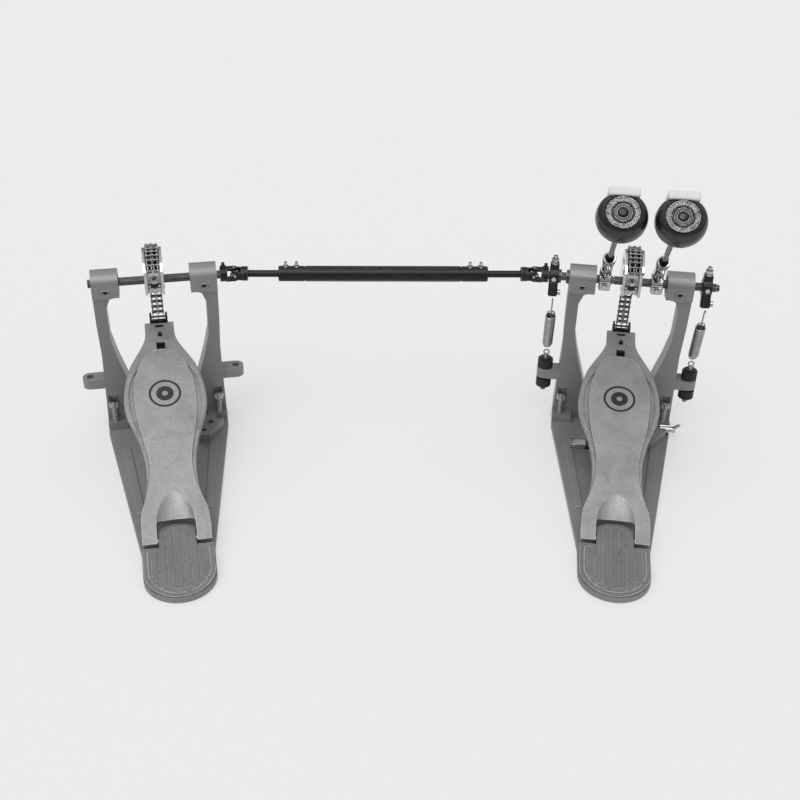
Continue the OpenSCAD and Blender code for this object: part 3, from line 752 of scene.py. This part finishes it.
def beater_head(side):
    """A squat round head with a flat seat for the felt and a ringed badge on its top."""
    at = on_rod(BEATER_X[side]) @ move(z=HEAD_D)
    profile = curve_through([(0, -15.4), (9, -15.2), (17, -13.6), (22.6, -9.2), (25.2, -3),
                             (25.4, 2.4), (24.2, 7.6), (21.6, 11.8), (18.6, 14.2)], 4)
    profile += [(17.9, 14.5), (17.3, 14.1), (17.0, 13.4), (0, 13.4)]
    head = turned(profile, sides=96)
    cut = bmesh.ops.bisect_plane(head, geom=[*head.verts, *head.edges, *head.faces],
                                 plane_co=(0, 17, 0), plane_no=(0, 1, 0), clear_outer=True)
    seam = [e for e in cut["geom_cut"] if isinstance(e, bmesh.types.BMEdge)]
    bmesh.ops.triangle_fill(head, use_beauty=True, use_dissolve=False, edges=seam)
    neck = [(3.05, -20), (5.6, -20), (6.5, -19), (7.6, -14), (3.05, -14)]
    joined(head, turned(neck, sides=40, closed=True))
    head.transform(at)
    body = side + "_beater"
    set_piece(side + "_beater_head_turned", head, PRIMARY, PLASTIC, body,
              (side + "_beater_head",))
    rings = turned([(0, 13.2), (16.6, 13.2), (16.6, 15.0), (16.0, 15.6), (15.2, 15.6), (14.6, 14.9),
                    (11.6, 14.7), (11.0, 15.6), (10.2, 15.9), (9.4, 15.5), (8.8, 14.8), (5.6, 14.7),
                    (4.9, 15.5), (3.6, 16.1), (1.6, 16.4), (0, 16.4)], sides=96)
    for k in range(36):
        stud = turned([(0, 0.9), (0.5, 0.8), (0.8, 0.3), (0.8, -0.3), (0, -0.3)], sides=10)
        joined(rings, stud, turn(k * 10, "Z") @ move(13.1, 0, 14.8))
    rings.transform(at)
    set_piece(side + "_beater_badge", rings, PRIMARY, BADGE, body)


def beater_felt(side):
    """A pressed block of felt, a little uneven, with rounded corners."""
    felt = block((31, 9.3, 31), bevel=2.4, segments=4)
    bmesh.ops.subdivide_edges(felt, edges=[e for e in felt.edges if e.calc_length() > 6], cuts=7,
                              use_grid_fill=True)
    for v in felt.verts:
        if abs(v.co.y) > 4.2 or abs(v.co.z) > 15:
            wave = math.sin(v.co.x * 1.9 + v.co.z * 0.7) * math.cos(v.co.z * 1.4 - v.co.x * 0.5)
            v.co += v.co.normalized() * 0.14 * wave
    at = on_rod(BEATER_X[side]) @ move(0, 21.8, HEAD_D)
    set_piece(side + "_beater_felt_block", felt, PRIMARY @ at, FELT, side + "_beater",
              (side + "_beater_felt",))


def beater_rod(side):
    rod = turned([(0, 12), (2.5, 12), (3, 12.6), (3, HEAD_D - 12.6), (2.5, HEAD_D - 12),
                  (0, HEAD_D - 12)], on_rod(BEATER_X[side]), 40)
    set_piece(side + "_beater_rod_polished", rod, PRIMARY, CHROME, side + "_beater",
              (side + "_beater_rod",))


def memory_lock(side):
    at = on_rod(BEATER_X[side])
    collar = turned([(5.2, 42.6), (6.2, 42.6), (7, 43.4), (7, 46.6), (6.5, 47), (6.5, 49.8),
                     (7, 50.2), (7, 53.6), (6.4, 54.5), (5.2, 54.3)], at, 72, closed=True)
    joined(collar, square_head(3.2, at @ move(0, -6.2, 48.5) @ turn(90, "X")))
    set_piece(side + "_memory_lock_collar", collar, PRIMARY, CHROME,
              side + "_memory_lock", (side + "_memory_lock",))
    liner = turned([(3.1, 42.8), (5.3, 42.8), (5.3, 53.4), (4.4, 52.6), (3.1, 52.2)], at, 48,
                   closed=True)
    set_piece(side + "_memory_lock_liner", liner, PRIMARY, RUBBER,
              side + "_memory_lock")


def beater_holder(side, body):
    """A clamp hub on the axle with a slit tower, its screws and a foot."""
    x = BEATER_X[side]
    clamp = slab(ring(10.5, 72), -6.5, 6.5, 0.9, (ring(5.2, 6),), move(x, 0, AXLE_Z) @ ALONG_X,
                 low_bevel=0.9)
    at = on_rod(x)
    joined(clamp, slab(ring(5.6, 56), 7.5, 42, 0.9, (ring(3.1, 32),), at))
    joined(clamp, slab(ring(6.6, 56), 15, 19, 0.6, (ring(5.0, 32),), at))
    joined(clamp, slab(ring(6.4, 56), 36.5, 41, 0.6, (ring(5.0, 32),), at))
    joined(clamp, block((6.8, 5, 12), at @ move(0, -5.4, 28.5), 1.0, 3))
    joined(clamp, square_head(4.4, at @ move(0, -7.2, 28.5) @ turn(90, "X")))
    joined(clamp, block((12.4, 8, 9), move(x, -8, AXLE_Z - 3.6), 1.4, 3))
    joined(clamp, drum(3.1, 0, 2.4, move(x, -11.8, AXLE_Z - 3.4) @ turn(90, "X"), 0.5, 6))
    set_piece(side + "_beater_holder_clamp", clamp, PRIMARY, CHROME, body,
              (side + "_beater_holder",))


# ---- springs ------------------------------------------------------------------------------

# y and z of a spring's ends: over the eye rod, and at the arm's pin
SPRING_LOW = (EAR_Y, 96)
SPRING_TOP = (-10, AXLE_Z - 19)
SPRING_TILT = math.degrees(math.atan2(SPRING_LOW[0] - SPRING_TOP[0],
                                      SPRING_TOP[1] - SPRING_LOW[1]))


def half_loop(z0, sign):
    """The bent end of a spring: out of the coil, over in a loop, and back to the middle."""
    r = 4.3
    points = [(5.0, 0, z0)]
    for degrees in range(-30, 231, 20):
        a = math.radians(degrees)
        points.append((r * math.cos(a), 0.3, z0 + sign * (3.4 + r * math.sin(a))))
    return bent_wire(points, 0.8)


def spring(side):
    at = move(SPRING_X[side], *SPRING_LOW) @ turn(SPRING_TILT, "X")
    coil = wound(0.78, 5.2, 1.66, 28)
    coil.transform(move(z=9.8))
    joined(coil, half_loop(10.2, -1))
    joined(coil, half_loop(55.8, 1))
    hook = [(0, -0.9, 61.2), (0.2, -1.2, 64), (0, 0, 67), (0, 0, 76), (0, 0.2, 82.4),
            (0, -1.6, 84.6), (0, -3.2, 84.2)]
    joined(coil, bent_wire(hook, 0.95))
    coil.transform(at)
    obj = set_piece(side + "_spring_wound", coil, PRIMARY, CHROME, None,
                    (side + "_spring",))
    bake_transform(obj)


def spring_rod(side):
    at = move(SPRING_X[side], EAR_Y, 0)
    rod = turned([(0, 40), (2.4, 40), (3, 40.7), *thread(3, 0.3, 41, 0.5, 90),
                  (3, 86.6), (2.2, 88), (0, 88)], at, 28)
    joined(rod, drum(1.5, 86.5, 89.4, at, 0.3, 20))
    wire = ring(0.95, 12, (3.0, 0))
    joined(rod, turned(wire, move(0, 0, 91.6) @ turn(90, "X"), 32, closed=True), at)
    set_piece(side + "_spring_rod_threaded", rod, PRIMARY, STEEL, side + "_spring_rod",
              (side + "_spring_rod",))


def spring_arm(side, body):
    """A black clamp on the end of an axle, with a chrome screw on top and a spring pin below."""
    hub = move(SPRING_ARM_X[side], 0, AXLE_Z)
    arm_way = hub @ turn(SPRING_ARM_TILT, "X")
    arm = slab(ring(10.4, 72), -5.2, 5.2, 0.9, (ring(5.2, 6),), hub @ ALONG_X, low_bevel=0.9)
    joined(arm, block((10.2, 12.6, 22), arm_way @ move(0, -0.6, -12), 2.4, 4))
    joined(arm, block((10, 11, 10), hub @ move(0, 0, 11), 1.6, 3))
    set_piece(side + "_spring_arm_forged", arm, PRIMARY, BLACK_STEEL, body,
              (side + "_spring_arm",))
    screws = drum(4.9, 14, 17.4, hub, 0.8, 48)
    joined(screws, drum(4.6, 17.2, 21.4, hub, 0.7, 6))
    joined(screws, drum(2.6, 21.2, 25, hub, 0.6, 28))
    joined(screws, drum(3.2, 4.9, 8.4, arm_way @ move(0, -1, -18) @ ALONG_X, 0.6, 32))
    joined(screws, drum(3.0, 0, 2.6, hub @ move(0, -9.6, 1) @ turn(90, "X"), 0.5, 6))
    set_piece(side + "_spring_arm_screws", screws, PRIMARY, CHROME, body)


# ---- hoop clamp and drive shaft -----------------------------------------------------------

def wing_screw():
    """The wing screw that closes the hoop clamp: shank, ribbed barrel, a long and a short wing."""
    centre = move(0, -4, 12.5)
    at = centre @ ALONG_X
    screw = turned([(0, 18), (1.8, 18), *thread(2.5, 0.25, 18.6, 0.6, 64), (2.5, 57.4), (0, 57.4)],
                   at, 28)
    joined(screw, knurled(5.4, 57.2, 68.4, 16, 0.4, at, bevel=0.7))
    joined(screw, drum(3.6, 68.2, 74.6, at, 0.8, 36))
    for degrees, reach in ((20, 12), (200, 6)):
        root = centre @ turn(degrees, "X") @ move(70.4, 0, 2) @ turn(40, "Y")
        joined(screw, block((4, 3, reach), root @ move(2, 0, reach / 2), 1.2, 3))
    set_piece("hoop_clamp_wing_screw_turned", screw, PRIMARY, CHROME,
              "hoop_clamp_wing_screw", ("hoop_clamp_wing_screw",))


def lever_grip():
    """The bright rounded grip on the end of the hoop clamp's lever."""
    grip = block((18, 14.4, 5.4), move(-38.4, -65, 21.8), 2.3, 4)
    set_piece("hoop_clamp_grip", grip, PRIMARY, STEEL, "hoop_clamp_lever")


def cam_hub(name, place, body):
    """Screws, washers and the black key on the hub, between the two sides of a cam."""
    front = place @ move(0, -11, AXLE_Z)
    screws = bmesh.new()
    joined(screws, square_head(4.6, move(0, 0.6, 4.5) @ turn(90, "X")))
    joined(screws, drum(2.4, 0, 1.6, move(0, 0.6, -7.6) @ turn(90, "X"), 0.4, 6))
    for x in (-5.6, 5.6):
        joined(screws, drum(1.7, 0, 1.8, move(x, 0.6, -2.4) @ turn(90, "X"), 0.4, 20))
    for x in (-9.9, 9.9):
        for z in (-7, 12):
            joined(screws, drum(2.2, -1, 1, move(x, 6, z) @ ALONG_X, 0.4, 24))
    set_piece(name + "_cam_screws", screws, front, CHROME, body)
    key = block((13, 1.2, 5.2), move(0, 0, -2.4), 0.4, 2)
    set_piece(name + "_cam_key", key, front, BLACK_STEEL, body)


def along_shaft(name):
    """The ends of a CAD node along the drive shaft, in millimetres."""
    return ((v.x - SHAFT_RIGHT.translation.x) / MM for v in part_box(name))


def drive_tube():
    """The black sleeve of the drive shaft, with a collar at each end."""
    x0, x1 = along_shaft("drive_tube")
    profile = [(4.05, x0), (7.8, x0), (8.6, x0 + 0.8), (8.6, x0 + 28), (8.15, x0 + 28.6),
               (8.15, x1 - 28.6), (8.6, x1 - 28), (8.6, x1 - 0.8), (7.8, x1), (4.05, x1)]
    tube = turned(profile, ALONG_X, 72, closed=True)
    for z in (-1, 1):
        joined(tube, block((x1 - x0 - 60, 5.2, 0.9), move((x0 + x1) / 2, 0, 8.1 * z), 0.35))
    set_piece("drive_tube_sleeve", tube, SHAFT_RIGHT, BLACK_STEEL, "drive_tube",
              ("drive_tube",))


def drive_key_screws():
    x0, x1 = along_shaft("drive_key_screws")
    screws = bmesh.new()
    for x in (x0 + 3.2, x0 + 15.2, x1 - 15.2, x1 - 3.2):
        joined(screws, square_head(3.4, move(x, 0, 8.2)))
    set_piece("drive_key_screws_square", screws, SHAFT_RIGHT, CHROME, "drive_tube",
              ("drive_key_screws",))


# ---- the whole pedal ----------------------------------------------------------------------

for pedal, place, slope in PEDALS:
    body = pedal + "_frame"
    softened(pedal + "_post_frame", 1.3, CAST, body, screw_lips(place), 3)
    softened(pedal + "_base_plate", 1.2, BASE, body, base_ridges(place), 3)
    heel_plate(pedal, place)
    footboard(pedal, place, slope)
    frame_screws(pedal, place)
    spurs(pedal, place)
    axle = {"primary": "right_axle", "slave": "slave_axle"}[pedal]
    softened(pedal + "_cam", 0.45, CHROME, axle)
    cam_hub(pedal, place, axle)
    softened(pedal + "_toe_clamp", 0.6, BLACK_STEEL, pedal + "_footboard")

for axle in ("right_axle", "left_axle", "slave_axle"):
    softened(axle, 0.5, AXLE, axle)

for side in ("left", "right"):
    beater_head(side)
    beater_felt(side)
    beater_rod(side)
    memory_lock(side)
    beater_holder(side, side + "_axle")
    spring(side)
    spring_rod(side)
    spring_knobs(side)
    spring_arm(side, side + "_axle")

softened("hoop_clamp_lever", 0.9, BLACK_STEEL, "hoop_clamp_lever")
lever_grip()
wing_screw()
drive_tube()
drive_key_screws()
softened("axle_yoke_right", 0.5, BLACK_STEEL, "left_axle")
softened("drive_rod_right", 0.5, BLACK_STEEL, "drive_tube")
softened("drive_rod_left", 0.5, BLACK_STEEL, "drive_rod_left")
softened("axle_yoke_left", 0.5, BLACK_STEEL, "slave_axle")
softened("cross_right", 0.3, STEEL, "left_axle")
softened("cross_left", 0.3, STEEL, "slave_axle")

# CAD nodes that show as they are, by a word in their name
KEPT = {"chain": CHAIN, "bearings": STEEL, "pin": STEEL}
for name, obj in frame["nodes"].items():
    for word, metal in KEPT.items():
        if word in name:
            for spot in obj.material_slots:
                spot.material = metal


# ---- floor, light and camera --------------------------------------------------------------

FLOOR_CENTRE = (-0.26, 0, -0.0006)      # just under the feet, so that nothing flickers
BACKDROP = 0.88


def stage_finish():
    made = bpy.data.materials.new("pale_floor")
    made.use_nodes = True
    shader = made.node_tree.nodes["Principled BSDF"]
    shader.inputs["Base Color"].default_value = (0.34, 0.34, 0.34, 1)
    shader.inputs["Emission Color"].default_value = (1, 1, 1, 1)
    shader.inputs["Emission Strength"].default_value = 0.45
    shader.inputs["Roughness"].default_value = 0.9
    shader.inputs["Specular IOR Level"].default_value = 0.1
    return made


def floor():
    bm = bmesh.new()
    bmesh.ops.create_grid(bm, x_segments=1, y_segments=1, size=6, matrix=move(*FLOOR_CENTRE))
    mesh = bpy.data.meshes.new("floor")
    bm.to_mesh(mesh)
    bm.free()
    mesh.materials.append(stage_finish())
    obj = bpy.data.objects.new("floor", mesh)
    bpy.context.scene.collection.objects.link(obj)


def studio():
    """One broad sun, and a banded sky for reflections that the camera sees as one plain grey."""
    world = bpy.data.worlds.new("studio")
    world.use_nodes = True
    tree = world.node_tree
    sky = tree.nodes["Background"]
    sky.inputs["Strength"].default_value = 0.95
    place = node(tree, "TexCoord")
    parts = node(tree, "SeparateXYZ")
    tree.links.new(place.outputs["Generated"], parts.inputs[0])
    ramp = node(tree, "ValToRGB")
    stops = ((0.0, 0.1), (0.16, 0.12), (0.24, 0.7), (0.42, 0.3), (0.66, 0.85), (1.0, 1.0))
    for k, (at, value) in enumerate(stops):
        stop = ramp.color_ramp.elements[k] if k < 2 else ramp.color_ramp.elements.new(at)
        stop.position = at
        stop.color = (value, value, value, 1)
    tree.links.new(parts.outputs["Z"], ramp.inputs["Fac"])
    seen = node(tree, "LightPath")
    plain = node(tree, "Mix", data_type="RGBA")
    plain.inputs[7].default_value = (*grey(BACKDROP), 1)
    tree.links.new(seen.outputs["Is Camera Ray"], plain.inputs["Factor"])
    tree.links.new(ramp.outputs["Color"], plain.inputs[6])
    tree.links.new(plain.outputs[2], sky.inputs["Color"])
    bpy.context.scene.world = world
    sun = bpy.data.lights.new("sun", "SUN")
    sun.energy = 1.5
    sun.angle = math.radians(50)
    obj = bpy.data.objects.new("sun", sun)
    bpy.context.scene.collection.objects.link(obj)
    obj.rotation_mode = "QUATERNION"
    obj.rotation_quaternion = Vector((0.25, 0.5, -1)).to_track_quat("-Z", "Y")


def camera(centre, azimuth, pitch, roll, lens, shift):
    """A camera: azimuth from +Y towards +X, pitch downwards, and roll lifts its right side."""
    az, th, ro = (math.radians(v) for v in (azimuth, pitch, roll))
    ahead = Vector((math.sin(az) * math.cos(th), math.cos(az) * math.cos(th), -math.sin(th)))
    right = Vector((math.cos(az), -math.sin(az), 0))
    up = right.cross(ahead)
    across = math.cos(ro) * right + math.sin(ro) * up
    above = math.cos(ro) * up - math.sin(ro) * right
    data = bpy.data.cameras.new("camera")
    data.lens = lens
    data.shift_x, data.shift_y = shift
    obj = bpy.data.objects.new("camera", data)
    bpy.context.scene.collection.objects.link(obj)
    pose = Matrix((across, above, -ahead)).transposed().to_4x4()
    pose.translation = Vector(centre)
    obj.matrix_world = pose
    bpy.context.scene.camera = obj


floor()
studio()
camera((-0.3117, -1.1621, 0.7959), 1.966, 33.714, 1.029, 53.12, (0.0213, 0.0215))
bpy.context.scene.view_settings.view_transform = "Standard"
